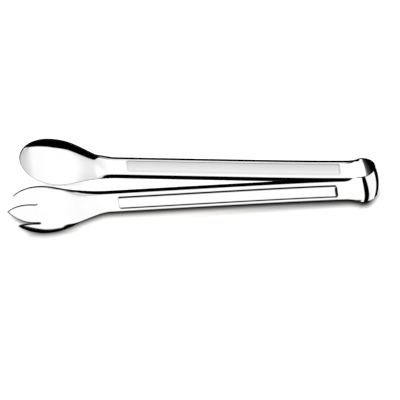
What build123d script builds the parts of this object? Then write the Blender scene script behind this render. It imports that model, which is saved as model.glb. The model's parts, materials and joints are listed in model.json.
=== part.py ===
import os
from math import asin, atan, cos, degrees, exp, hypot, pi, radians, sin, sqrt, tan

from build123d import *

# Spring salad tongs pressed from steel sheet: a spoon arm and a fork arm at the two ends of a U-shaped bow.
# The tongs are drawn about the bow's centre, with the heads towards -X and the spoon on the +Y side,
# and then laid on their side as they rest on a table. All lengths are in millimetres.

# Sheet
sheet = 1.2

# Bow: its two rims run round at one radius, and the sheet between them bulges outwards
bow_rim_radius = 11.5
bow_rise = 1.5
bow_half_width = 11.8

# Handle: a channel with a flat web outside and two flanges turned inwards
handle_length = 189.0
handle_offset = 12.9
handle_half_width = 9.6
flange_depth = 4.0
flare_length = 11.0
settle_length = 30.0
spread_share = 0.0592
channel_crispness = 14
dome_crispness = 2

# Panel pressed outwards in the web of each handle
panel_start = 16.5
panel_length = 166.0
panel_width = 11.8
panel_rise = 0.55
panel_bevel = 1.1
panel_corner = 2.4
panel_root = 0.3

# Heads: the widest place lies head_run beyond the handle, and the rim stands rim_crank outside the web there.
# The channel has turned into an even dome round_length beyond the handle.
head_run = 51.0
head_half_width = 23.3
nose_length = 26.6
crank_length = 40.0
rim_crank = 2.6
round_length = 24.0
spoon_depth = 9.0
fork_depth = 5.2
tip_share = 0.995

# Fork: two slots divide the head into three leaf-shaped tines
slot_root_run = 3.0
slot_middle = 9.6
slot_width = 1.6
tine_belly_run = 17.2
tine_belly = 10.2
outer_belly_run = 14.0
outer_belly = 10.5
outer_tip_run = 20.4
outer_tip = 15.1

# Stations of the sections, as shares of the stretch that they divide
flare_shares = (0.0, 0.18, 0.36, 0.54, 0.76, 1.0)
handle_shares = (0.15, 0.3, 0.45, 0.6, 0.75, 0.9, 1.0)
head_shares = (0.1, 0.2, 0.3, 0.4, 0.5, 0.6, 0.7, 0.8, 0.9, 1.0)
panel_shares = (0.0, 0.06, 0.13, 0.22, 0.35, 0.6, 1.0)
nose_steps = 8
bow_steps = 12
half_points = 10
curve_samples = 200

overrun = 5.0
widest_run = handle_length + head_run
tip_run = widest_run + nose_length
bow_crown_radius = bow_rim_radius + bow_rise


def ease(share):
    """Smooth step from 0 to 1."""
    share = min(max(share, 0), 1)
    return (1 - cos(pi * share)) / 2


def web_offset(run):
    """Distance of the outer web from the tongs' middle plane, run millimetres from the bow."""
    return handle_offset + spread_share * (run - settle_length * (1 - exp(-run / settle_length)))


def nose_share(run):
    return max(0, (run - widest_run) / nose_length)


def half_width(run):
    """Half of the strip's width across its rims."""
    if run < flare_length:
        return bow_half_width + (handle_half_width - bow_half_width) * ease(run / flare_length)
    wide = handle_half_width + (head_half_width - handle_half_width) * ease((run - handle_length) / head_run)
    return wide * sqrt(1 - nose_share(run) ** 2)


def rim_offset(run):
    """Distance of the rims from the middle plane."""
    if run < flare_length:
        start = handle_offset - bow_rim_radius
        return web_offset(run) - start - (flange_depth - start) * ease(run / flare_length)
    crank = (flange_depth + rim_crank) * ease((run - handle_length) / crank_length)
    return web_offset(run) - flange_depth + crank


def section_depth(run, head_depth):
    """How far the crown of a section stands outside its rims."""
    if run < flare_length:
        return web_offset(run) - rim_offset(run)
    deep = flange_depth + (head_depth - flange_depth) * ease((run - handle_length) / head_run)
    return deep * (1 - nose_share(run) ** 2)


def crispness(run):
    """Power of the section's curve: high for a flat web with flanges, 2 for an even dome."""
    flat = channel_crispness - dome_crispness
    return dome_crispness + flat * ease(run / flare_length) * (1 - ease((run - handle_length) / round_length))


def even_shares(width, depth, power):
    """Places across half a section, at equal steps along its curve, as shares of its half width."""
    lengths = [0]
    for step in range(curve_samples):
        inner, outer = step / curve_samples, (step + 1) / curve_samples
        lengths.append(lengths[-1] + hypot(width / curve_samples, depth * (outer**power - inner**power)))
    shares = []
    for point in range(half_points + 1):
        target = lengths[-1] * point / half_points
        after = min(range(curve_samples + 1), key=lambda k: abs(lengths[k] - target))
        shares.append(after / curve_samples)
    return shares


def section_points(width, depth, power, crown):
    """Outer and inner curve of one section, as pairs of distance from the middle and height."""
    outer, inner = [], []
    shares = even_shares(width, depth, power)
    for share in [-s for s in reversed(shares[1:])] + shares:
        fall = depth * power * abs(share) ** (power - 1) * (1 if share > 0 else -1)
        length = hypot(width, fall)
        across, height = crown - depth * abs(share) ** power, width * share
        outer.append((across, height))
        inner.append((across - sheet * width / length, height - sheet * fall / length))
    return outer, inner


def section_face(outer, inner, place):
    """Closed outline through both curves, with each point put in space by place."""
    front = [place(*point) for point in outer]
    back = [place(*point) for point in inner]
    edges = [Spline(*front), Line(front[-1], back[-1]), Spline(*reversed(back)), Line(back[0], front[0])]
    return Face(Wire(edges))


def arm_section(run, head_depth):
    rim = rim_offset(run)
    depth = section_depth(run, head_depth)
    outer, inner = section_points(half_width(run), depth, crispness(run), rim + depth)
    return section_face(outer, inner, lambda across, height: Vector(-run, across, height))


def arm_runs():
    """Distances from the bow at which an arm's sections stand."""
    runs = [flare_length * share for share in flare_shares]
    runs += [flare_length + (handle_length - flare_length) * share for share in handle_shares]
    runs += [handle_length + head_run * share for share in head_shares]
    last = asin(tip_share)
    runs += [widest_run + nose_length * sin(last * step / nose_steps) for step in range(1, nose_steps + 1)]
    return runs


def panel_section(run, rise):
    """Slice of the raised panel: upright at its foot, bevelled above the web."""
    web = web_offset(run)
    edge, top = panel_width / 2, panel_width / 2 - panel_bevel
    half = [(web - panel_root, edge), (web, edge), (web + rise, top)]
    corners = half + [(across, -height) for across, height in reversed(half)]
    return Face(Wire(Polyline(*[Vector(-run, across, height) for across, height in corners], close=True)))


def panel_block():
    """Raised panel that follows the web, with bevelled sides and rounded corners."""
    raised = panel_length - 2 * panel_bevel
    slices = [panel_section(panel_start + panel_bevel + raised * share, panel_rise) for share in panel_shares]
    near_end = loft([panel_section(panel_start, 0), slices[0]], ruled=True)
    far_end = loft([slices[-1], panel_section(panel_start + panel_length, 0)], ruled=True)
    middle = (-panel_start - panel_length / 2, 0, 0)
    outline = Plane(origin=middle, x_dir=(1, 0, 0), z_dir=(0, 1, 0)) * RectangleRounded(
        panel_length, panel_width, panel_corner
    )
    return (loft(slices) + near_end + far_end) & extrude(outline, tip_run)


def pressed_arm(head_depth):
    """One arm on the +Y side, from the bow's end to the head's tip, with its panel pressed out."""
    arm = loft([arm_section(run, head_depth) for run in arm_runs()])
    panel = panel_block()
    return arm + panel - Pos(0, -sheet, 0) * panel


def fork_slot():
    """Upper slot as a prism: middle tine's edge on one side, outer tine's edge on the other."""
    root = widest_run + slot_root_run
    low, high = slot_middle - slot_width / 2, slot_middle + slot_width / 2
    middle_tip = (-tip_run, 0)
    outer_end = (-widest_run - outer_tip_run, outer_tip)
    beyond = [(-tip_run - overrun, 0), (-tip_run - overrun, outer_tip)]
    edges = [
        Bezier((-root, low), (-widest_run - tine_belly_run, tine_belly), middle_tip),
        Line(middle_tip, beyond[0]),
        Line(beyond[0], beyond[1]),
        Line(beyond[1], outer_end),
        Bezier(outer_end, (-widest_run - outer_belly_run, outer_belly), (-root, high)),
        ThreePointArc((-root, high), (-root + slot_width / 2, slot_middle), (-root, low)),
    ]
    upright = Plane(origin=(0, 0, 0), x_dir=(1, 0, 0), z_dir=(0, -1, 0))
    return extrude(upright * Face(Wire(edges)), tip_run, both=True)


def spoon_arm():
    return pressed_arm(spoon_depth)


def fork_arm():
    slot = fork_slot()
    return mirror(pressed_arm(fork_depth) - slot - mirror(slot, Plane.XY), Plane.XZ)


def spring_bow():
    """U-shaped bow from one arm's end round to the other's."""
    faces = []
    for step in range(bow_steps + 1):
        angle = radians(90 - 180 * step / bow_steps)
        crown = handle_offset + (bow_crown_radius - handle_offset) * cos(angle) ** 2
        outer, inner = section_points(bow_half_width, crown - bow_rim_radius, dome_crispness, crown)
        faces.append(
            section_face(outer, inner, lambda r, height, a=angle: Vector(r * cos(a), r * sin(a), height))
        )
    return loft(faces)


def rest_tilt():
    """Tilt that brings the bow's rim down to the table beside the two heads."""
    tilt = 0
    for _ in range(half_points):
        width_change = head_half_width - handle_half_width
        back = head_run / pi * asin(2 * head_run * tan(tilt) / (pi * width_change))
        drop = half_width(widest_run - back) - bow_half_width
        tilt = atan(drop / (widest_run - back + bow_rim_radius))
    return degrees(tilt)


nodes = {"spoon_arm": spoon_arm(), "fork_arm": fork_arm(), "spring_bow": spring_bow()}
tilted = {name: Rot(0, rest_tilt(), 0) * shape for name, shape in nodes.items()}
boxes = [shape.bounding_box() for shape in tilted.values()]
low = [min(tuple(box.min)[axis] for box in boxes) for axis in range(3)]
high = [max(tuple(box.max)[axis] for box in boxes) for axis in range(3)]
resting = Pos(-(low[0] + high[0]) / 2, -(low[1] + high[1]) / 2, -low[2]) * Rot(0, rest_tilt(), 0)

os.makedirs("parts", exist_ok=True)
for name, shape in nodes.items():
    export_step(resting * shape, f"parts/{name}.step")

# The quarter bow beside each arm turns the arm about this place
pole = 2 / pi * (bow_rim_radius + handle_offset) / 2
for side in (1, -1):
    point = (resting * Pos(pole, side * pole, 0)).position
    print("arm turns about", [round(value, 3) for value in point])
print("tilt", round(rest_tilt(), 4), "overall", [round(high[axis] - low[axis], 2) for axis in range(3)])
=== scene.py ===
import json
import math

import bpy
from mathutils import Matrix, Vector
from mathutils.kdtree import KDTree

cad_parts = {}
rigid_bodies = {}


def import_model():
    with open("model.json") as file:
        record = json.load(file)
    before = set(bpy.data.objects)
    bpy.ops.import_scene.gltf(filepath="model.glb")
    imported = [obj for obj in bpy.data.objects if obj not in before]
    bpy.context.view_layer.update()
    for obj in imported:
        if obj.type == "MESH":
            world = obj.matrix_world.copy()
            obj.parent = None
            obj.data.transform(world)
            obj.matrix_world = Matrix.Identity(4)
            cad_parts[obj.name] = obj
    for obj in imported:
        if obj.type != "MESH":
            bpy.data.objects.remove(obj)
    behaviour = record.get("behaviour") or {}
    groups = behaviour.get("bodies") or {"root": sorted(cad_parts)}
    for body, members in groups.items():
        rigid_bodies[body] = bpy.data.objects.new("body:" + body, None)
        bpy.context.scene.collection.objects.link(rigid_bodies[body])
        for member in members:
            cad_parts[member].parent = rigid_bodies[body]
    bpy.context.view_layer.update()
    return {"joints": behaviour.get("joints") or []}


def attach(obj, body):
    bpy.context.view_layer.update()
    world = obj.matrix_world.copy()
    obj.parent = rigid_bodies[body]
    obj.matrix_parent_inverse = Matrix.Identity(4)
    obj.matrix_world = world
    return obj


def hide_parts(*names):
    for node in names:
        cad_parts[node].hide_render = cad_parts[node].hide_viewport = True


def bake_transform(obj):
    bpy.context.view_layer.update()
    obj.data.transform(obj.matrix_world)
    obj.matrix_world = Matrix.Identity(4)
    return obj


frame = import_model()
print("frame loaded")

mm = 0.001  # lengths below are millimetres, Blender's are metres

# one strip of sheet runs from the fork round the bow to the spoon; a run is the distance from the bow
strip = {
    "sheet": 1.2,
    "bowRimRadius": 11.5,
    "bowRise": 1.5,  # bulge of the bow between its rims
    "bowHalfWidth": 11.8,
    "handleLength": 189.0,
    "handleOffset": 12.9,  # from the middle plane to the outside of the handle, at the bow
    "handleHalfWidth": 9.6,
    "flangeDepth": 4.0,
    "flareLength": 11.0,
    "settleLength": 30.0,
    "spreadShare": 0.0592,
    "channelPower": 20.0,  # high for a flat web with crisp flanges
    "domePower": 2.0,  # an even dome
    "edgeRound": 0.2,
    "edgeSegments": 3,
    "edgeAngle": 50.0,  # degrees; only sharper edges are rounded
}
panel = {
    "start": 16.5,
    "length": 166.0,
    "width": 11.8,
    "rise": 0.55,
    "bevel": 1.1,
    "corner": 2.4,
    "lift": 0.35,  # above the middle of the handle
    "lowSatin": 0.25,  # satin that is left at the panel's lower side
}
head = {"run": 51.0, "halfWidth": 23.3, "nose": 26.54, "crankLength": 40.0, "rimCrank": 2.6}
spoon = {
    "side": 1,
    "depth": 9.0,
    "roundLength": 18.0,  # over which the channel turns into a dome
    "noseAngle": 58.0,  # degrees round the nose, before its last row turns round the tip
    "noseRows": 26,
}
fork = {"side": -1, "depth": 5.2, "roundLength": 38.0}
tines = {
    "rootRun": 3.0,
    "slotMiddle": 9.6,
    "slotWidth": 1.6,
    "slotInset": 0.234,  # columns beside the slot's rounded root
    "bellyRun": 17.2,
    "belly": 10.2,
    "outerBellyRun": 14.0,
    "outerBelly": 10.5,
    "outerTipRun": 20.4,
    "outerTip": 15.1,
    "rootRows": 3,
    "tipRows": 22,
    "tipShare": 0.8,  # of a tine's sides, before its last row turns round the tip
}
widest = strip["handleLength"] + head["run"]
tipRun = widest + head["nose"]

# the tongs are drawn about the bow's centre, and laid down as the CAD lies
hinges = {joint["name"]: joint for joint in frame["joints"]}
axis = hinges["spoon_close"]["axis"]
tilt = math.atan2(axis[0], axis[2])
pole = 2 / math.pi * (strip["bowRimRadius"] + strip["handleOffset"]) / 2  # hinge of a bent quarter circle
hingeMiddle = (Vector(hinges["spoon_close"]["pos_m"]) + Vector(hinges["fork_close"]["pos_m"])) / 2
turn = Matrix.Rotation(tilt, 4, "Y")
placing = Matrix.Translation(hingeMiddle - turn @ Vector((pole * mm, 0, 0))) @ turn
toLocal = placing.inverted()


def clamp(value):
    return min(max(value, 0.0), 1.0)


def ease(share):
    return (1 - math.cos(math.pi * clamp(share))) / 2


def webOffset(run):
    settle = strip["settleLength"]
    return strip["handleOffset"] + strip["spreadShare"] * (run - settle * (1 - math.exp(-run / settle)))


def noseShare(run):
    return clamp((run - widest) / head["nose"])


def halfWidth(run):
    if run < strip["flareLength"]:
        narrowing = strip["handleHalfWidth"] - strip["bowHalfWidth"]
        return strip["bowHalfWidth"] + narrowing * ease(run / strip["flareLength"])
    widening = head["halfWidth"] - strip["handleHalfWidth"]
    wide = strip["handleHalfWidth"] + widening * ease((run - strip["handleLength"]) / head["run"])
    return wide * math.sqrt(max(0.0, 1 - noseShare(run) ** 2))


def rimOffset(run):
    if run < strip["flareLength"]:
        start = strip["handleOffset"] - strip["bowRimRadius"]
        return webOffset(run) - start - (strip["flangeDepth"] - start) * ease(run / strip["flareLength"])
    crank = ease((run - strip["handleLength"]) / head["crankLength"])
    return webOffset(run) - strip["flangeDepth"] + (strip["flangeDepth"] + head["rimCrank"]) * crank


def sectionDepth(run, arm):
    if run < strip["flareLength"]:
        return webOffset(run) - rimOffset(run)
    deepening = arm["depth"] - strip["flangeDepth"]
    deep = strip["flangeDepth"] + deepening * ease((run - strip["handleLength"]) / head["run"])
    return deep * (1 - noseShare(run) ** 2)


def sectionPower(run, arm):
    flat = strip["channelPower"] - strip["domePower"]
    headShare = ease((run - strip["handleLength"]) / arm["roundLength"])
    return strip["domePower"] + flat * ease(run / strip["flareLength"]) * (1 - headShare)


def heightShares(width, depth, power, shares, samples=240):
    # turns even steps along the bent section into shares of its half width
    lengths = [0.0]
    for step in range(samples):
        rise = depth * (((step + 1) / samples) ** power - (step / samples) ** power)
        lengths.append(lengths[-1] + math.hypot(width / samples, rise))
    found, step = [], 0
    for share in shares:
        target = share * lengths[-1]
        while step < samples - 1 and lengths[step + 1] < target:
            step += 1
        part = (target - lengths[step]) / (lengths[step + 1] - lengths[step])
        found.append((step + min(part, 1.0)) / samples)
    return found


def panelRise(run, height):
    # the panel's raised profile, and how far inside its rounded outline the point lies
    middle = panel["start"] + panel["length"] / 2
    halfLong, halfHigh = panel["length"] / 2 - panel["corner"], panel["width"] / 2 - panel["corner"]
    dx, dz = abs(run - middle) - halfLong, abs(height - panel["lift"]) - halfHigh
    within = panel["corner"] - (math.hypot(max(dx, 0), max(dz, 0)) + min(max(dx, dz), 0))
    share = clamp(within / panel["bevel"])
    return share * share * (3 - 2 * share), within


def sheetPoint(run, height, arm):
    # place on the outside of an arm, share of the panel's rise, and distance inside the panel
    width = max(halfWidth(run), 1e-6)
    share = min(abs(height) / width, 1.0)
    across = rimOffset(run) + sectionDepth(run, arm) * (1 - share ** sectionPower(run, arm))
    raised, within = panelRise(run, height)
    return Vector((-run, arm["side"] * (across + panel["rise"] * raised), height)), raised, within


# rows of the blank lie across the strip, columns along it
rowSteps = {
    "flare": 0.8,
    "toPanel": 0.9,
    "panelEnd": 0.3,
    "panelEndLength": 3.6,
    "panel": 3.0,
    "toNeck": 1.1,
    "neck": 1.4,
    "bowRows": 60,
}
slotLow = tines["slotMiddle"] - tines["slotWidth"] / 2
slotHigh = tines["slotMiddle"] + tines["slotWidth"] / 2
rootRun = widest + tines["rootRun"]
rootWidth = halfWidth(rootRun)
slotHeights = [slotLow, slotLow + tines["slotInset"], tines["slotMiddle"]]
slotHeights += [slotHigh - tines["slotInset"], slotHigh]
slotShares = [height / rootWidth for height in slotHeights]
# columns from the middle to the rim, as shares of the half width, closer together at the slots and the rim
halfShares = [0.0, 0.05, 0.1, 0.15, 0.2, 0.25, 0.29, 0.325, 0.35, 0.366] + slotShares
halfShares += [0.463, 0.485, 0.515, 0.545, 0.575, 0.6, 0.62, 0.64, 0.66, 0.68, 0.7, 0.72, 0.74, 0.76]
halfShares += [0.785, 0.81, 0.84, 0.87, 0.9, 0.93, 0.955, 0.975, 0.989, 1.0]
columns = [-share for share in reversed(halfShares[1:])] + halfShares
columnCount = len(columns)
slotColumns = [index for index, share in enumerate(columns) if abs(share) in slotShares[1:-1]]
lowSlot = [index for index in slotColumns if columns[index] < 0]
highSlot = [index for index in slotColumns if columns[index] > 0]


def evenSteps(start, end, step):
    count = max(1, round(abs(end - start) / step))
    return [start + (end - start) * index / count for index in range(count)]


panelEnd = panel["start"] + panel["length"]
fineStart, fineEnd = panel["start"] + rowSteps["panelEndLength"], panelEnd - rowSteps["panelEndLength"]
handleRuns = evenSteps(0.0, strip["flareLength"], rowSteps["flare"])
handleRuns += evenSteps(strip["flareLength"], panel["start"], rowSteps["toPanel"])
handleRuns += evenSteps(panel["start"], fineStart, rowSteps["panelEnd"])
handleRuns += evenSteps(fineStart, fineEnd, rowSteps["panel"])
handleRuns += evenSteps(fineEnd, panelEnd, rowSteps["panelEnd"])
handleRuns += evenSteps(panelEnd, strip["handleLength"], rowSteps["toNeck"])
handleRuns += evenSteps(strip["handleLength"], widest, rowSteps["neck"])
handleRuns.append(widest)
bowAngles = [90 - 180 * step / rowSteps["bowRows"] for step in range(rowSteps["bowRows"] + 1)]


def bezier(start, control, end, share):
    a, b, c = (1 - share) ** 2, 2 * share * (1 - share), share**2
    return tuple(a * start[k] + b * control[k] + c * end[k] for k in (0, 1))


def outlinePoint(share):
    # head's outline as run and height, from its widest place to its tip
    angle = share * math.pi / 2
    return widest + head["nose"] * math.sin(angle), head["halfWidth"] * math.cos(angle)


def mirrored(edge):
    return [(run, -height) for run, height in edge]


def pointAlong(points, share):
    # point at that share of the way along a chain of points
    lengths = [0.0]
    for a, b in zip(points, points[1:]):
        lengths.append(lengths[-1] + math.dist(a, b))
    target = share * lengths[-1]
    for index in range(len(points) - 1):
        if target <= lengths[index + 1] or index == len(points) - 2:
            part = (target - lengths[index]) / max(lengths[index + 1] - lengths[index], 1e-9)
            return tuple(points[index][k] + (points[index + 1][k] - points[index][k]) * part for k in (0, 1))


def tipPatch(span, run, width, sides, cut, rowCount):
    # the sheet between two edges that meet in a tip, with straight rows at the root that turn round the tip
    first, last = span
    lower, upper = sides
    cutIndex = round(cut * (len(lower) - 1))
    tip = lower[cutIndex:] + list(reversed(upper[cutIndex:-1]))
    half = sum(math.dist(a, b) for a, b in zip(lower[cutIndex:], lower[cutIndex + 1 :]))
    whole = sum(math.dist(a, b) for a, b in zip(tip, tip[1:]))
    return {
        "span": span,
        "rows": rowCount,
        "root": ((run, columns[first] * width), (run, columns[last] * width)),
        "sides": (lower[: cutIndex + 1], upper[: cutIndex + 1]),
        "tip": tip,
        "middleShare": half / whole,
    }


def patchPoint(patch, s, v):
    # stretches a patch between its four edges; s runs from the root to the tip, v across
    middle = patch["middleShare"]
    share = middle * v / 0.5 if v < 0.5 else middle + (1 - middle) * (v - 0.5) / 0.5
    (start, end), tip = patch["root"], patch["tip"]
    lower, upper = (pointAlong(side, s) for side in patch["sides"])
    over = pointAlong(tip, share)
    point = []
    for k in (0, 1):
        under = start[k] + (end[k] - start[k]) * v
        corners = (1 - s) * ((1 - v) * start[k] + v * end[k]) + s * ((1 - v) * tip[0][k] + v * tip[-1][k])
        point.append((1 - s) * under + s * over[k] + (1 - v) * lower[k] + v * upper[k] - corners)
    return tuple(point)


edgeSteps = 120
outerTip = (widest + tines["outerTipRun"], tines["outerTip"])
tipAngle = math.degrees(math.asin(tines["outerTipRun"] / head["nose"]))
rootAngle = math.degrees(math.asin(tines["rootRun"] / head["nose"]))
edgeShares = [index / edgeSteps for index in range(edgeSteps + 1)]
spoonEdge = [outlinePoint(share) for share in edgeShares]
tineOutline = [outlinePoint((rootAngle + (tipAngle - rootAngle) * share) / 90) for share in edgeShares]
middleRoot, middleBelly = (rootRun, slotLow), (widest + tines["bellyRun"], tines["belly"])
innerRoot, innerBelly = (rootRun, slotHigh), (widest + tines["outerBellyRun"], tines["outerBelly"])
middleEdge = [bezier(middleRoot, middleBelly, (tipRun, 0.0), share) for share in edgeShares]
innerEdge = [bezier(innerRoot, innerBelly, outerTip, share) for share in edgeShares]
innerEdge[-1] = tineOutline[-1]

wholeSpan = (0, columnCount - 1)
spoon["patches"] = [
    tipPatch(
        wholeSpan,
        widest,
        head["halfWidth"],
        (mirrored(spoonEdge), spoonEdge),
        spoon["noseAngle"] / 90,
        spoon["noseRows"],
    )
]
tineSpans = ((0, lowSlot[0] - 1), (lowSlot[-1] + 1, highSlot[0] - 1), (highSlot[-1] + 1, columnCount - 1))
tineSides = (
    (mirrored(tineOutline), mirrored(innerEdge)),
    (mirrored(middleEdge), middleEdge),
    (innerEdge, tineOutline),
)
fork["patches"] = [
    tipPatch(span, rootRun, rootWidth, sides, tines["tipShare"], tines["tipRows"])
    for span, sides in zip(tineSpans, tineSides)
]


def tipPoint(arm, row, column):
    for patch in arm["patches"]:
        first, last = patch["span"]
        if first <= column <= last:
            across = (columns[column] - columns[first]) / (columns[last] - columns[first])
            return patchPoint(patch, row / patch["rows"], across)


def armHeights(run, arm):
    # heights of all columns at one run: evenly along the bent section on the handle, by height on the head
    even = heightShares(halfWidth(run), sectionDepth(run, arm), sectionPower(run, arm), halfShares)
    flat = ease((run - strip["handleLength"]) / head["run"])
    half = [(a + (b - a) * flat) * halfWidth(run) for a, b in zip(even, halfShares)]
    return [-height for height in reversed(half[1:])] + half


def rootRow(beyond):
    # rows between the fork's widest place and the roots of its slots; the last one is rounded at each slot
    run = widest + tines["rootRun"] * beyond / tines["rootRows"]
    row = []
    for column, share in enumerate(columns):
        back = 0.0
        if beyond == tines["rootRows"] and column in slotColumns:
            step = (abs(share) * rootWidth - tines["slotMiddle"]) / (tines["slotWidth"] / 2)
            back = tines["slotWidth"] / 2 * math.sqrt(max(0.0, 1 - step**2))
        row.append(sheetPoint(run - back, share * halfWidth(run), fork))
    return row


def tipRow(arm, step):
    row = []
    for column in range(columnCount):
        if arm is fork and column in slotColumns:
            row.append(row[-1])  # these columns are cut out
        else:
            run, height = tipPoint(arm, step, column)
            row.append(sheetPoint(run, height, arm))
    return row


def armRows(arm):
    # all rows of an arm, from the bow to the tip
    found = [[sheetPoint(run, height, arm) for height in armHeights(run, arm)] for run in handleRuns[1:]]
    if arm is fork:
        found += [rootRow(step) for step in range(1, tines["rootRows"] + 1)]
    return found + [tipRow(arm, step) for step in range(1, arm["patches"][0]["rows"] + 1)]


def bowRow(angle):
    turned = math.radians(angle)
    bulge = strip["bowRimRadius"] + strip["bowRise"] - strip["handleOffset"]
    crown = strip["handleOffset"] + bulge * math.cos(turned) ** 2
    depth = crown - strip["bowRimRadius"]
    half = heightShares(strip["bowHalfWidth"], depth, strip["domePower"], halfShares)
    row = []
    for share in [-value for value in reversed(half[1:])] + half:
        radius = crown - depth * share * share
        place = Vector((radius * math.cos(turned), radius * math.sin(turned), share * strip["bowHalfWidth"]))
        row.append((place, 0.0, -panel["width"]))
    return row


rows = list(reversed(armRows(fork))) + [bowRow(angle) for angle in reversed(bowAngles)] + armRows(spoon)
rowCount = len(rows)
print("blank of", rowCount, "rows and", columnCount, "columns")


def onlySelect(piece):
    bpy.ops.object.select_all(action="DESELECT")
    piece.select_set(True)
    bpy.context.view_layer.objects.active = piece


def editFaces(piece, wanted):
    # opens the piece in edit mode with only the wanted faces selected
    onlySelect(piece)
    bpy.ops.object.mode_set(mode="EDIT")
    bpy.ops.mesh.select_all(action="DESELECT")
    bpy.ops.mesh.select_mode(type="FACE")
    bpy.ops.object.mode_set(mode="OBJECT")
    for face in piece.data.polygons:
        face.select = wanted(face.center)
    bpy.ops.object.mode_set(mode="EDIT")


def addGrid(name, alongSteps, acrossSteps):
    # flat grid from -1 to 1 both ways, to be shaped
    bpy.ops.object.select_all(action="DESELECT")
    bpy.ops.mesh.primitive_grid_add(
        x_subdivisions=alongSteps, y_subdivisions=acrossSteps, size=2.0, location=(0, 0, 0)
    )
    grid = bpy.context.object
    grid.name = name
    return grid


def gridRow(place):
    return (place[0] + 1) / 2 * (rowCount - 1)


def gridColumn(place):
    return (place[1] + 1) / 2 * (columnCount - 1)


def inSlot(place):
    column = gridColumn(place)
    slot = lowSlot[0] - 1 < column < lowSlot[-1] + 1 or highSlot[0] - 1 < column < highSlot[-1] + 1
    return gridRow(place) < tines["tipRows"] and slot


blank = addGrid("steel_strip", rowCount - 1, columnCount - 1)
editFaces(blank, inSlot)
bpy.ops.mesh.delete(type="FACE")
bpy.ops.mesh.select_all(action="SELECT")
bpy.ops.mesh.delete_loose()
bpy.ops.object.mode_set(mode="OBJECT")

# painted shade line in the foot of the raised panel: where it starts and ends inside the outline, and its
# strength
foot = {
    "upper": (-0.35, 1.1, 1.0),
    "lower": (-0.15, 1.75, 1.0),
    "bowEnd": (0.45, 2.3, 1.0),
    "headEnd": (0.3, 0.9, 0.2),
    "soft": 0.25,
    "turning": 2.0,  # length over which the side's line turns into the end's
}
# cut edges are dull and painted dark on the heads, and polished on the handles; painted dark rims run along
# the heads' outlines and slots
rims = {
    "dullAndShadeFrom": 190.0,
    "dullAndShadeLength": 12.0,
    "handleDullAndShade": 0.15,
    "bowDullAndShade": 14.0,  # on the spoon's side they are dull and painted dark from here to the bow
    "bowDullAndShadeLength": 6.0,
    "underside": -1.0,  # edges below this height are dull and painted dark everywhere
    "slotWidth": 0.55,
    "underWidth": 0.9,  # lower edge of the middle tine
    "outlineReach": 0.6,  # this near to the half width a border is the head's outline
    "clearShare": 1.02,  # above the slot's middle times this its edge has no painted dark rim
    "outline": (
        (190.0, 2.4),
        (206.0, 2.6),
        (216.0, 1.8),
        (226.0, 1.15),
        (240.0, 0.9),
        (252.0, 0.8),
        (268.0, 0.75),
    ),
    "cornerShare": 0.76,
    "cornerSoft": 0.05,
    "cornerDark": 0.85,
    "soft": 0.3,
    "samples": 6,
}


def softBand(value, band):
    low, high, strength = band
    return strength * clamp((value - low) / foot["soft"] + 0.5) * clamp((high - value) / foot["soft"] + 0.5)


# painted shade line along the panel's foot, turning from the sides' line into the ends' line at the corners
def footShade(run, height, within):
    middle = panel["start"] + panel["length"] / 2
    beyond = abs(run - middle) - panel["length"] / 2 + panel["corner"]
    aside = abs(height - panel["lift"]) - panel["width"] / 2 + panel["corner"]
    atEnd = clamp(0.5 + (beyond - aside) / foot["turning"])
    along = softBand(within, foot["upper"] if height > 0 else foot["lower"])
    across = softBand(within, foot["bowEnd"] if run < middle else foot["headEnd"])
    return along * (1 - atEnd) + across * atEnd


def satinShade(height, raised):
    return raised * (panel["lowSatin"] + (1 - panel["lowSatin"]) * clamp(0.5 + height / panel["width"]))


def headwards(run):
    return clamp((run - rims["dullAndShadeFrom"]) / rims["dullAndShadeLength"])


# how dull and painted dark a cut edge is
def edgeDullnessAndShade(place):
    if place.z < rims["underside"]:
        return 1.0
    dullAndShade = max(headwards(-place.x), rims["handleDullAndShade"])
    if place.y > 0:
        dullAndShade = max(dullAndShade, clamp((rims["bowDullAndShade"] + place.x) / rims["bowDullAndShadeLength"]))
    return dullAndShade


def fromTable(table, value):
    if value <= table[0][0]:
        return table[0][1]
    for (low, first), (high, second) in zip(table, table[1:]):
        if value <= high:
            return first + (second - first) * (value - low) / (high - low)
    return table[-1][1]


def rimWidth(place, border):
    # width of the painted dark rim at a place, from the nearest point of the blank's border
    run = -border.x
    if abs(border.z) > halfWidth(run) - rims["outlineReach"]:
        return fromTable(rims["outline"], run) if border.y < 0 and border.z > 0 else rims["slotWidth"]
    if place.z > tines["slotMiddle"] * rims["clearShare"]:
        return -rims["soft"]  # no rim on the upper tine
    return rims["underWidth"] if -tines["slotMiddle"] < place.z < 0 else rims["slotWidth"]


def cornerShade(place):
    # painted shade on the lower corner of the near handle
    toHandle = 1 - headwards(-place.x)
    if place.x > 0 or place.y > 0 or place.z > 0 or toHandle == 0:
        return 0.0
    corner = (-place.z / halfWidth(-place.x) - rims["cornerShare"]) / rims["cornerSoft"]
    return toHandle * clamp(corner) * rims["cornerDark"]


def pointValues(piece, *names):
    # adds named values to all points of a mesh
    for name in names:
        piece.data.attributes.new(name, "FLOAT", "POINT")
    return [piece.data.attributes[name].data for name in names]


panelFace, panelEdge, edgeDullAndShade = pointValues(blank, "panelFace", "panelEdge", "edgeDullAndShade")
for vertex in blank.data.vertices:
    place, raised, within = rows[round(gridRow(vertex.co))][round(gridColumn(vertex.co))]
    vertex.co = placing @ (place * mm)
    panelFace[vertex.index].value = satinShade(place.z, raised)
    panelEdge[vertex.index].value = footShade(-place.x, place.z, within)
    edgeDullAndShade[vertex.index].value = edgeDullnessAndShade(place)

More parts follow.
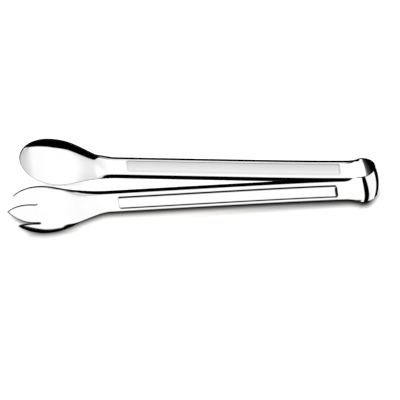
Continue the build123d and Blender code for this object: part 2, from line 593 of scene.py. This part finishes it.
edgeUses = {}
for face in blank.data.polygons:
    for key in face.edge_keys:
        edgeUses[key] = edgeUses.get(key, 0) + 1
borders = []
for key, uses in edgeUses.items():
    if uses == 1:
        start, end = (toLocal @ blank.data.vertices[index].co / mm for index in key)
        borders += [start.lerp(end, step / rims["samples"]) for step in range(rims["samples"])]
nearest = KDTree(len(borders))
for index, point in enumerate(borders):
    nearest.insert(point, index)
nearest.balance()
# painted shade along the heads' outlines and slots, and on the near handle's lower corner
(rimShade,) = pointValues(blank, "rimShade")
for vertex in blank.data.vertices:
    place = toLocal @ vertex.co / mm
    share = headwards(-place.x)
    if share > 0:
        border, index, distance = nearest.find(place)
        share *= clamp((rimWidth(place, border) - distance) / rims["soft"] + 0.5)
    rimShade[vertex.index].value = max(share, cornerShade(place))
print("strip pressed")

steel = {
    "color": (0.95, 0.95, 0.955, 1.0),
    "paintedFootShadeColor": (0.012, 0.012, 0.013, 1.0),  # painted shade in the panel's foot
    "satinColor": (0.62, 0.62, 0.63, 1.0),
    # painted shade of the dull edges and the dark rims
    "edgeShadeColor": (0.01, 0.01, 0.011, 1.0),
    "roughness": 0.045,
    "haze": 0.035,
    "satinRoughness": 0.42,
    "edgeRoughness": 0.35,
    "hairScale": (60.0, 2600.0, 2600.0),  # fine lines along the strip
    "hairDetail": 2.0,
    "hairHeight": 0.00002,
    "hairStrength": 0.05,
    "cloudScale": 55.0,
    "cloudDetail": 4.0,
    "cloudRange": (0.42, 0.72),
    "cloudTone": 0.965,
}


def addNode(tree, kind, place, **values):
    node = tree.nodes.new(kind)
    node.location = place
    for name, value in values.items():
        setattr(node, name, value)
    return node


def feed(tree, socket, value):
    # a socket takes another node's output or a fixed value
    if isinstance(value, bpy.types.NodeSocket):
        tree.links.new(value, socket)
    else:
        socket.default_value = value


def mathNode(tree, operation, place, *values):
    node = addNode(tree, "ShaderNodeMath", place, operation=operation)
    for socket, value in zip(node.inputs, values):
        feed(tree, socket, value)
    return node.outputs["Value"]


def mixNode(tree, kind, place, factor, first, second, **values):
    node = addNode(tree, "ShaderNodeMix", place, data_type=kind, **values)
    feed(tree, node.inputs["Factor"], factor)
    feed(tree, node.inputs["A"], first)
    feed(tree, node.inputs["B"], second)
    return node.outputs["Result"]


def attributeNode(tree, name, place):
    return addNode(tree, "ShaderNodeAttribute", place, attribute_name=name).outputs["Fac"]


def polishGroup():
    # polished sheet: faint haze, hairlines along the strip and a few handling marks
    group = bpy.data.node_groups.new("polishMarks", "ShaderNodeTree")
    for name in ("Base Roughness", "Haze"):
        group.interface.new_socket(name, in_out="INPUT", socket_type="NodeSocketFloat")
    for name in ("Roughness", "Height", "Tone"):
        group.interface.new_socket(name, in_out="OUTPUT", socket_type="NodeSocketFloat")
    start = addNode(group, "NodeGroupInput", (-900, 0))
    end = addNode(group, "NodeGroupOutput", (600, 0))
    place = addNode(group, "ShaderNodeTexCoord", (-900, -200)).outputs["Object"]
    turned = addNode(group, "ShaderNodeMapping", (-700, -200))
    turned.inputs["Rotation"].default_value = (0.0, -tilt, 0.0)
    turned.inputs["Scale"].default_value = steel["hairScale"]
    feed(group, turned.inputs["Vector"], place)
    hairs = addNode(group, "ShaderNodeTexNoise", (-480, -200))
    hairs.inputs["Scale"].default_value = 1.0
    hairs.inputs["Detail"].default_value = steel["hairDetail"]
    feed(group, hairs.inputs["Vector"], turned.outputs["Vector"])
    cloud = addNode(group, "ShaderNodeTexNoise", (-480, 100))
    cloud.inputs["Scale"].default_value = steel["cloudScale"]
    cloud.inputs["Detail"].default_value = steel["cloudDetail"]
    feed(group, cloud.inputs["Vector"], place)
    spread = addNode(group, "ShaderNodeMapRange", (-260, 100))
    feed(group, spread.inputs["Value"], cloud.outputs["Fac"])
    spread.inputs["From Min"].default_value, spread.inputs["From Max"].default_value = steel["cloudRange"]
    marks = spread.outputs["Result"]
    base, haze = start.outputs["Base Roughness"], start.outputs["Haze"]
    rough = mathNode(group, "MULTIPLY_ADD", (-60, 100), marks, haze, base)
    tone = addNode(group, "ShaderNodeMapRange", (200, -120))
    feed(group, tone.inputs["Value"], marks)
    tone.inputs["To Min"].default_value = 1.0
    tone.inputs["To Max"].default_value = steel["cloudTone"]
    feed(group, end.inputs["Roughness"], rough)
    feed(group, end.inputs["Height"], hairs.outputs["Fac"])
    feed(group, end.inputs["Tone"], tone.outputs["Result"])
    return group


polishMarks = polishGroup()


def startSteel(name):
    # metal shader with the polish marks: gives the tree, shader, marks and the toned steel colour
    material = bpy.data.materials.new(name)
    material.use_nodes = True
    tree = material.node_tree
    shader = tree.nodes["Principled BSDF"]
    shader.inputs["Metallic"].default_value = 1.0
    marks = addNode(tree, "ShaderNodeGroup", (-900, 0), node_tree=polishMarks)
    marks.inputs["Base Roughness"].default_value = steel["roughness"]
    marks.inputs["Haze"].default_value = steel["haze"]
    tone = marks.outputs["Tone"]
    toned = mixNode(tree, "RGBA", (-640, 200), 1.0, steel["color"], tone, blend_type="MULTIPLY")
    return material, tree, shader, marks, toned


def steelMaterial(name, satin, paintedFootShade, rimDark):
    material, tree, shader, marks, color = startSteel(name)
    panelShare = attributeNode(tree, "panelFace", (-900, -300))
    satinShare = mathNode(tree, "MULTIPLY", (-640, -300), panelShare, satin)
    # painted shade line in the panel's foot
    footShare = attributeNode(tree, "panelEdge", (-900, -500))
    paintedFootShadeShare = mathNode(tree, "MULTIPLY", (-640, -500), footShare, paintedFootShade)
    # painted dark rims
    rimShare = mathNode(tree, "MULTIPLY", (-420, 500), attributeNode(tree, "rimShade", (-640, 500)), rimDark)
    color = mixNode(tree, "RGBA", (-420, 200), satinShare, color, steel["satinColor"])
    color = mixNode(tree, "RGBA", (-200, 200), paintedFootShadeShare, color, steel["paintedFootShadeColor"])
    color = mixNode(tree, "RGBA", (-20, 300), rimShare, color, steel["edgeShadeColor"])
    feed(tree, shader.inputs["Base Color"], color)
    polished = marks.outputs["Roughness"]
    rough = mixNode(tree, "FLOAT", (-420, -100), satinShare, polished, steel["satinRoughness"])
    feed(tree, shader.inputs["Roughness"], rough)
    bump = addNode(tree, "ShaderNodeBump", (-200, -200))
    bump.inputs["Distance"].default_value = steel["hairHeight"]
    bump.inputs["Strength"].default_value = steel["hairStrength"]
    feed(tree, bump.inputs["Height"], marks.outputs["Height"])
    feed(tree, shader.inputs["Normal"], bump.outputs["Normal"])
    return material


def edgeMaterial(name):
    # cut edges: polished along the handle, duller and painted darker where the edge's dullness value is 1
    material, tree, shader, marks, color = startSteel(name)
    dullAndShade = attributeNode(tree, "edgeDullAndShade", (-900, -300))
    color = mixNode(tree, "RGBA", (-420, 200), dullAndShade, color, steel["edgeShadeColor"])
    feed(tree, shader.inputs["Base Color"], color)
    rough = mixNode(tree, "FLOAT", (-420, -100), dullAndShade, marks.outputs["Roughness"], steel["edgeRoughness"])
    feed(tree, shader.inputs["Roughness"], rough)
    return material


blank.data.materials.append(steelMaterial("polishedSteelOutside", satin=0.0, paintedFootShade=1.0, rimDark=1.0))
blank.data.materials.append(steelMaterial("polishedSteelInside", satin=1.0, paintedFootShade=0.16, rimDark=0.45))
blank.data.materials.append(edgeMaterial("polishedSteelEdge"))
print("steel made")

onlySelect(blank)
crown = max(blank.data.polygons, key=lambda face: face.center.x)
if crown.normal.x < 0:  # the blank is the outside of the tongs
    bpy.ops.object.mode_set(mode="EDIT")
    bpy.ops.mesh.select_all(action="SELECT")
    bpy.ops.mesh.flip_normals()
    bpy.ops.object.mode_set(mode="OBJECT")
bpy.ops.object.shade_smooth()
wall = blank.modifiers.new("wall", "SOLIDIFY")
wall.thickness = strip["sheet"] * mm
wall.offset = -1
wall.use_even_offset = True
wall.material_offset = 1
wall.material_offset_rim = 2
rounding = blank.modifiers.new("rounding", "BEVEL")
rounding.material = 2
rounding.width = strip["edgeRound"] * mm
rounding.segments = strip["edgeSegments"]
rounding.limit_method = "ANGLE"
rounding.angle_limit = math.radians(strip["edgeAngle"])
rounding.harden_normals = True
for modifier in list(blank.modifiers):
    bpy.ops.object.modifier_apply(modifier=modifier.name)
print("wall and rounded edges applied,", len(blank.data.polygons), "faces")

# each corner keeps its normal, so that the pieces meet without a seam in their reflections
kept = blank.data.attributes.new("keptNormal", "FLOAT_VECTOR", "CORNER")
for index, corner in enumerate(blank.data.corner_normals):
    kept.data[index].vector = corner.vector


def splitOff(piece, name, wanted):
    before = set(bpy.data.objects)
    editFaces(piece, lambda center: wanted(toLocal @ center))
    bpy.ops.mesh.separate(type="SELECTED")
    bpy.ops.object.mode_set(mode="OBJECT")
    part = (set(bpy.data.objects) - before).pop()
    part.name = name
    part.data.name = name
    return part


def closeEnds(piece):
    onlySelect(piece)
    bpy.ops.object.mode_set(mode="EDIT")
    bpy.ops.mesh.select_all(action="SELECT")
    bpy.ops.mesh.fill_holes(sides=0)
    bpy.ops.object.mode_set(mode="OBJECT")


def restoreNormals(piece):
    mesh = piece.data
    normals = [tuple(item.vector) for item in mesh.attributes["keptNormal"].data]
    mesh.attributes.remove(mesh.attributes["keptNormal"])
    mesh.normals_split_custom_set(normals)


# the strip is divided where it changes its work: two stiff arms and the two halves of the springy bow
spoonArm = splitOff(blank, "spoon_arm_sheet", lambda place: place.x < 0 and place.y > 0)
forkArm = splitOff(blank, "fork_arm_sheet", lambda place: place.x < 0 and place.y < 0)
bowSpoonSide = splitOff(blank, "bow_spoon_side", lambda place: place.y > 0)
bowForkSide = blank
bowForkSide.name = "bow_fork_side"
bowForkSide.data.name = "bow_fork_side"
pieces = [spoonArm, forkArm, bowSpoonSide, bowForkSide]
for piece in pieces:
    closeEnds(piece)
    restoreNormals(piece)
    piece.visible_glossy = False  # the arms don't mirror each other, only the studio
    print(piece.name, len(piece.data.polygons), "faces")

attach(spoonArm, "spoon")
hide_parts("spoon_arm")
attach(forkArm, "fork")
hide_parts("fork_arm")
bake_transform(bowSpoonSide)
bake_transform(bowForkSide)
for piece in (bowSpoonSide, bowForkSide):
    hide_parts("spring_bow")

# long lens, to the right of the front and 40 degrees above it; angles in degrees, pixels from the upper left
view = {
    "distance": 3000.0,
    "elevation": 39.90,
    "yaw": 13.22,
    "roll": 9.61,
    "aimRun": 127.0,
    "aimPixel": (193.885, 182.475),
    "centrePixel": (199.5, 199.5),
    "pixelsPerMm": 1.3285,
    "imageWidth": 400,
    "sensor": 36.0,
    "clip": (0.1, 20.0),
}
elevationAngle, yawAngle, rollAngle = (math.radians(view[name]) for name in ("elevation", "yaw", "roll"))
right = Vector((math.cos(yawAngle), math.sin(yawAngle), 0))
ahead = Vector((-math.sin(yawAngle), math.cos(yawAngle), 0)) * math.cos(elevationAngle)
ahead -= Vector((0, 0, math.sin(elevationAngle)))
up = right.cross(ahead)
imageRight = right * math.cos(rollAngle) - up * math.sin(rollAngle)
imageUp = right * math.sin(rollAngle) + up * math.cos(rollAngle)
aim = Vector((-view["aimRun"], 0, 0))
aim += imageRight * (view["centrePixel"][0] - view["aimPixel"][0]) / view["pixelsPerMm"]
aim -= imageUp * (view["centrePixel"][1] - view["aimPixel"][1]) / view["pixelsPerMm"]
eye = aim - ahead * view["distance"]
bpy.ops.object.camera_add()
lens = bpy.context.object
lens.name = "catalogue_camera"
pose = Matrix((imageRight, imageUp, -ahead)).transposed().to_4x4()
lens.matrix_world = Matrix.Translation(placing @ (eye * mm)) @ turn @ pose
lens.data.sensor_width = view["sensor"]
lens.data.lens = view["pixelsPerMm"] * view["distance"] * view["sensor"] / view["imageWidth"]
lens.data.clip_start, lens.data.clip_end = view["clip"]
bpy.context.scene.camera = lens
bpy.context.scene.view_settings.view_transform = "Standard"
print("camera set")

# the studio that the steel mirrors: white, with round dark areas and greyer sides, by direction in degrees
studio = {
    "reflectedStrength": 1.07,
    "diffuseStrength": 0.9,
    "ceiling": {"azimuth": 180.0, "elevation": 44.0, "radius": 56.0, "soft": 14.0},
    "lower": {"azimuth": -130.0, "elevation": -60.0, "radius": 34.0, "soft": 4.0},
    "behind": {"azimuth": 192.0, "elevation": -27.0, "radius": 17.0, "soft": 6.0},
    "sides": (
        (-90.0, 0.6),
        (-78.0, 0.65),
        (-70.0, 0.72),
        (-62.0, 0.8),
        (-54.0, 0.9),
        (-46.0, 1.0),
        (24.0, 1.0),
        (32.0, 0.76),
        (40.0, 0.63),
        (47.0, 0.58),
        (53.0, 0.58),
        (61.0, 0.97),
    ),
}


def darkCap(tree, direction, cap, place):
    # round dark area, given by its middle and radius
    azimuth, elevation = math.radians(cap["azimuth"]), math.radians(cap["elevation"])
    across = addNode(tree, "ShaderNodeVectorMath", place, operation="DOT_PRODUCT")
    feed(tree, across.inputs[0], direction)
    level = math.cos(elevation)
    middle = (level * math.sin(azimuth), -level * math.cos(azimuth), math.sin(elevation))
    across.inputs[1].default_value = middle
    share = addNode(tree, "ShaderNodeMapRange", (place[0] + 200, place[1]), interpolation_type="SMOOTHSTEP")
    feed(tree, share.inputs["Value"], across.outputs["Value"])
    share.inputs["From Min"].default_value = math.cos(math.radians(cap["radius"] + cap["soft"] / 2))
    share.inputs["From Max"].default_value = math.cos(math.radians(cap["radius"] - cap["soft"] / 2))
    return share.outputs["Result"]


def sideGreys(tree, direction):
    # grey of the surroundings by azimuth, which is 0 towards -Y and grows towards +X
    split = addNode(tree, "ShaderNodeSeparateXYZ", (-700, -250))
    feed(tree, split.inputs["Vector"], direction)
    nearer = mathNode(tree, "MULTIPLY", (-500, -350), split.outputs["Y"], -1.0)
    azimuth = mathNode(tree, "ARCTAN2", (-300, -250), split.outputs["X"], nearer)
    turnShare = mathNode(tree, "MULTIPLY_ADD", (-100, -250), azimuth, 0.5 / math.pi, 0.5)
    greys = addNode(tree, "ShaderNodeValToRGB", (100, -250))
    greys.color_ramp.interpolation = "B_SPLINE"
    stops = greys.color_ramp.elements
    while len(stops) < len(studio["sides"]):
        stops.new(0.5)
    for stop, (angle, value) in zip(stops, studio["sides"]):
        stop.position = angle / 360 + 0.5
        stop.color = (value, value, value, 1.0)
    feed(tree, greys.inputs["Fac"], turnShare)
    return greys.outputs["Color"]


def makeSurroundings():
    world = bpy.context.scene.world or bpy.data.worlds.new("studioWorld")
    bpy.context.scene.world = world
    world.use_nodes = True
    # reflections and soft light differ, so they aren't sampled as one lamp
    world.cycles.sampling_method = "NONE"
    tree = world.node_tree
    tree.nodes.clear()
    output = addNode(tree, "ShaderNodeOutputWorld", (900, 0))
    direction = addNode(tree, "ShaderNodeTexCoord", (-900, 0)).outputs["Generated"]
    ceiling = darkCap(tree, direction, studio["ceiling"], (-600, 200))
    lower = darkCap(tree, direction, studio["lower"], (-600, 0))
    behind = darkCap(tree, direction, studio["behind"], (-600, 400))
    above = mathNode(tree, "MAXIMUM", (-200, 250), ceiling, behind)
    dark = mathNode(tree, "MAXIMUM", (-50, 100), above, lower)
    strength = studio["reflectedStrength"]
    clear = mathNode(tree, "MULTIPLY_ADD", (100, 100), dark, -strength, strength)
    reflected = mathNode(tree, "MULTIPLY", (400, 0), clear, sideGreys(tree, direction))
    path = addNode(tree, "ShaderNodeLightPath", (100, 400))
    diffuse = studio["diffuseStrength"]
    seen = mixNode(tree, "FLOAT", (600, 200), path.outputs["Is Glossy Ray"], diffuse, reflected)
    backdrop = mixNode(tree, "FLOAT", (750, 200), path.outputs["Is Camera Ray"], seen, 1.0)
    glow = addNode(tree, "ShaderNodeBackground", (750, 0))
    glow.inputs["Color"].default_value = (1.0, 1.0, 1.0, 1.0)
    feed(tree, glow.inputs["Strength"], backdrop)
    feed(tree, output.inputs["Surface"], glow.outputs["Background"])


makeSurroundings()
print("surroundings made")

# cards that only reflections see; each faces the bow, and its corners run from the upper left over the
# upper right and lower right to the lower left, as seen from there
cards = {
    "bow_dark_card": {
        "corners": ((23.8, -39.8, 12), (8.5, -55.1, 12), (-2.1, -65.7, -125), (25.2, -38.5, -125)),
        "edgeShare": 0.1,  # soft ends
        "bend": 13.0,  # bulge of its middle towards the left
        "bright": 0.0,
        "fadeShare": 0.0,
    },
    "bow_white_card": {
        "corners": ((64.0, -2.0, 12), (24.0, -42.0, 12), (24.0, -42.0, -46), (59.0, -7.0, -46)),
        "edgeShare": 0.04,
        "bend": 0.0,
        "bright": 1.0,
        "fadeShare": 0.0,
    },
    "end_dark_card": {
        "corners": ((34, 60, 12), (78, 20, 12), (78, 20, -155), (34, 60, -155)),
        "edgeShare": 0.07,
        "bend": 0.0,
        "bright": 0.0,
        "fadeShare": 0.0,
    },
    "inner_bow_card": {
        "corners": ((-6.7, -6.6, 12), (0, 11.7, 12), (0, 11.7, -40), (-6.7, -6.6, -40)),
        "edgeShare": 0.0,
        "bend": 0.0,
        "bright": 1.0,
        "fadeShare": 0.85,  # its light fades over this share of its length
    },
}
# farther than its reach a card isn't reflected, so that only the bow shows the cards
cardMesh = {"alongSteps": 60, "upSteps": 20, "reach": 185.0}


def startMaterial(name):
    material = bpy.data.materials.new(name)
    material.use_nodes = True
    material.node_tree.nodes.clear()
    return material, material.node_tree, addNode(material.node_tree, "ShaderNodeOutputMaterial", (600, 0))


def cardMaterial():
    material, tree, output = startMaterial("reflectedCard")
    material.cycles.emission_sampling = "NONE"
    facing = addNode(tree, "ShaderNodeNewGeometry", (-400, 0))
    front = mathNode(tree, "MULTIPLY_ADD", (-200, 0), facing.outputs["Backfacing"], -1.0, 1.0)
    path = addNode(tree, "ShaderNodeLightPath", (-400, 450))
    near = mathNode(tree, "LESS_THAN", (-200, 400), path.outputs["Ray Length"], cardMesh["reach"] * mm)
    towards = mathNode(tree, "MULTIPLY", (-100, 200), near, front)
    share = mathNode(tree, "MULTIPLY", (0, 100), attributeNode(tree, "cardCover", (-400, 200)), towards)
    clear = addNode(tree, "ShaderNodeBsdfTransparent", (0, -50))
    light = addNode(tree, "ShaderNodeEmission", (0, -200))
    feed(tree, light.inputs["Strength"], attributeNode(tree, "cardBright", (-400, -200)))
    mixed = addNode(tree, "ShaderNodeMixShader", (300, 0))
    feed(tree, mixed.inputs["Fac"], share)
    feed(tree, mixed.inputs[1], clear.outputs["BSDF"])
    feed(tree, mixed.inputs[2], light.outputs["Emission"])
    feed(tree, output.inputs["Surface"], mixed.outputs["Shader"])
    return material


def hideFrom(piece, kinds):
    for kind in kinds:
        setattr(piece, "visible_" + kind, False)


def placeCard(name, card, material):
    sheet = addGrid(name, cardMesh["alongSteps"], cardMesh["upSteps"])
    cover, bright = pointValues(sheet, "cardCover", "cardBright")
    upperLeft, upperRight, lowerRight, lowerLeft = (Vector(corner) for corner in card["corners"])
    outwards = (upperLeft - upperRight).normalized() * card["bend"]
    for vertex in sheet.data.vertices:
        along, level = (vertex.co.x + 1) / 2, (vertex.co.y + 1) / 2
        edge = min(along, 1 - along) / card["edgeShare"] if card["edgeShare"] else 1.0
        fade = max(0.0, 1 - along / card["fadeShare"]) ** 2 if card["fadeShare"] else 1.0
        cover[vertex.index].value = min(edge, 1.0)
        bright[vertex.index].value = card["bright"] * fade
        upper, under = upperLeft.lerp(upperRight, along), lowerLeft.lerp(lowerRight, along)
        vertex.co = placing @ ((under.lerp(upper, level) + outwards * 4 * level * (1 - level)) * mm)
    sheet.data.materials.append(material)
    hideFrom(sheet, ("camera", "diffuse", "transmission", "volume_scatter", "shadow"))


reflectedCard = cardMaterial()
for name, card in cards.items():
    placeCard(name, card, reflectedCard)
print("reflected cards placed")

table = {
    "size": 6.0,  # metres
    "color": (0.81, 0.80, 0.79, 1.0),
    "paleColor": (0.83, 0.82, 0.81, 1.0),
    "mottleScale": 60.0,
    "lift": 0.45,  # brings the floor up to the white backdrop, for the camera alone
}


def floorMaterial():
    material, tree, output = startMaterial("studioFloor")
    mottle = addNode(tree, "ShaderNodeTexNoise", (-600, 100))
    mottle.inputs["Scale"].default_value = table["mottleScale"]
    paint = addNode(tree, "ShaderNodeBsdfDiffuse", (0, 0))
    tones = mixNode(tree, "RGBA", (-300, 100), mottle.outputs["Fac"], table["color"], table["paleColor"])
    feed(tree, paint.inputs["Color"], tones)
    path = addNode(tree, "ShaderNodeLightPath", (-400, -200))
    lift = addNode(tree, "ShaderNodeEmission", (0, -200))
    amount = mathNode(tree, "MULTIPLY", (-200, -200), path.outputs["Is Camera Ray"], table["lift"])
    feed(tree, lift.inputs["Strength"], amount)
    total = addNode(tree, "ShaderNodeAddShader", (300, 0))
    feed(tree, total.inputs[0], paint.outputs["BSDF"])
    feed(tree, total.inputs[1], lift.outputs["Emission"])
    feed(tree, output.inputs["Surface"], total.outputs["Shader"])
    return material


bpy.ops.object.select_all(action="DESELECT")
bpy.ops.mesh.primitive_plane_add(size=table["size"], location=(0, 0, 0))
floor = bpy.context.object
floor.name = "studio_floor"
floor.visible_glossy = False
floor.data.materials.append(floorMaterial())
print("floor laid")

# soft shade where the resting tongs come near the table; reaches are pixels outside the lower silhouette
shade = {
    "reach": ((0.0, 0.5), (30.0, 0.6), (60.0, 0.5), (125.0, 0.1), (160.0, 0.2), (190.0, 0.1)),
    "headReach": ((200.0, -0.2), (208.0, -0.9), (225.0, -2.3), (252.0, -2.3), (261.0, -5.0)),
    "slotReach": (-1.2, -5.5),  # at the slot's root and at the middle tine's tip
    "slotPower": 3,
    "slotStep": 6,  # every so many points of the middle tine's edge
    "bowReach": -6.5,
    "bowPower": 1.5,
    "bowTurn": 72.0,  # degrees round the bow until its reach is the handle's
    "bowAngles": (-2, -92, -4),  # first, end and step
    "runStep": 3.0,
    "outlineSteps": 40,
    "fade": 5.6,  # pixels, as is the farthest reach of the shade
    "fadePower": 1.9,
    "farthest": 14.0,
    "tint": (1.0, 0.975, 0.95, 1.0),
    "low": (-160.0, -75.0),
    "high": (160.0, 45.0),
    "step": 1.25,
    "height": 0.1,
    "lowShares": (0.7, 0.8, 0.9, 0.95, 1.0),  # of the half width, where a section may be lowest
}
cameraPlace = lens.matrix_world.inverted()


def pixelOf(point):
    # picture coordinates of a point, in pixels to the right of and above the middle
    seenPoint = cameraPlace @ point
    scale = view["pixelsPerMm"] * view["distance"] / -seenPoint.z
    return Vector((seenPoint.x * scale, seenPoint.y * scale))


def localPixel(point):
    return pixelOf(placing @ (point * mm))


def bowSilhouette():
    line = []
    atHandle = shade["reach"][0][1]
    radius = strip["bowRimRadius"] + strip["bowRise"] / 2
    for angle in range(*shade["bowAngles"]):
        turned = math.radians(angle)
        low = Vector((radius * math.cos(turned), radius * math.sin(turned), -strip["bowHalfWidth"]))
        share = min(-angle / shade["bowTurn"], 1.0) ** shade["bowPower"]
        line.append((localPixel(low), shade["bowReach"] + (atHandle - shade["bowReach"]) * share))
    return line


def armSilhouette():
    noseRuns = [outlinePoint(index / shade["outlineSteps"])[0] for index in range(shade["outlineSteps"] + 1)]
    line = []
    for run in evenSteps(0.0, widest, shade["runStep"]) + [run for run in noseRuns if run < outerTip[0]]:
        places = [sheetPoint(run, -halfWidth(run) * share, fork)[0] for share in shade["lowShares"]]
        pixels = [localPixel(place) for place in places]
        lowest = min(pixels, key=lambda pixel: pixel.y)
        line.append((lowest, fromTable(shade["reach"] + shade["headReach"], run)))
    return line


def slotSilhouette():
    atRoot, atTip = shade["slotReach"]
    line = []
    for run, height in middleEdge[:: shade["slotStep"]]:
        share = max(0.0, (run - rootRun) / (tipRun - rootRun)) ** shade["slotPower"]
        line.append((localPixel(sheetPoint(run, -height, fork)[0]), atRoot + (atTip - atRoot) * share))
    return line


silhouettes = (bowSilhouette() + armSilhouette(), slotSilhouette())


def clearAt(pixel):
    # how much of the floor's white is left beside the silhouettes
    clearest = 1.0
    for line in silhouettes:
        for (start, first), (end, second) in zip(line, line[1:]):
            along = end - start
            share = clamp((pixel - start).dot(along) / along.length_squared)
            distance = (pixel - start - along * share).length
            if distance < shade["farthest"]:
                outside = max(distance - first - (second - first) * share, 0.0)
                clearest = min(clearest, 1 - math.exp(-((outside / shade["fade"]) ** shade["fadePower"])))
    return clearest


def shadeMaterial():
    material, tree, output = startMaterial("contactShade")
    clearest = attributeNode(tree, "contactClear", (-400, 0))
    tinted = mixNode(tree, "RGBA", (-200, 0), clearest, shade["tint"], (1.0, 1.0, 1.0, 1.0))
    dimmed = mixNode(tree, "RGBA", (0, 0), 1.0, tinted, clearest, blend_type="MULTIPLY")
    through = addNode(tree, "ShaderNodeBsdfTransparent", (300, 0))
    feed(tree, through.inputs["Color"], dimmed)
    feed(tree, output.inputs["Surface"], through.outputs["BSDF"])
    return material


spanX, spanY = (shade["high"][k] - shade["low"][k] for k in (0, 1))
contact = addGrid("contact_shade", round(spanX / shade["step"]), round(spanY / shade["step"]))
(contactClear,) = pointValues(contact, "contactClear")
for vertex in contact.data.vertices:
    x = shade["low"][0] + spanX * (vertex.co.x + 1) / 2
    y = shade["low"][1] + spanY * (vertex.co.y + 1) / 2
    vertex.co = Vector((x, y, shade["height"])) * mm
    contactClear[vertex.index].value = clearAt(pixelOf(vertex.co))
contact.data.materials.append(shadeMaterial())
hideFrom(contact, ("diffuse", "glossy", "transmission", "volume_scatter", "shadow"))
print("contact shade laid")

softbox = {"place": (0.0, 0.15, 1.2), "lean": -0.12, "size": 0.7, "power": 6.0}  # metres, radians, watts
bpy.ops.object.light_add(type="AREA", location=softbox["place"], rotation=(softbox["lean"], 0, 0))
lamp = bpy.context.object
lamp.name = "overhead_softbox"
lamp.data.size = softbox["size"]
lamp.data.energy = softbox["power"]
lamp.visible_glossy = False
print("lamp hung")
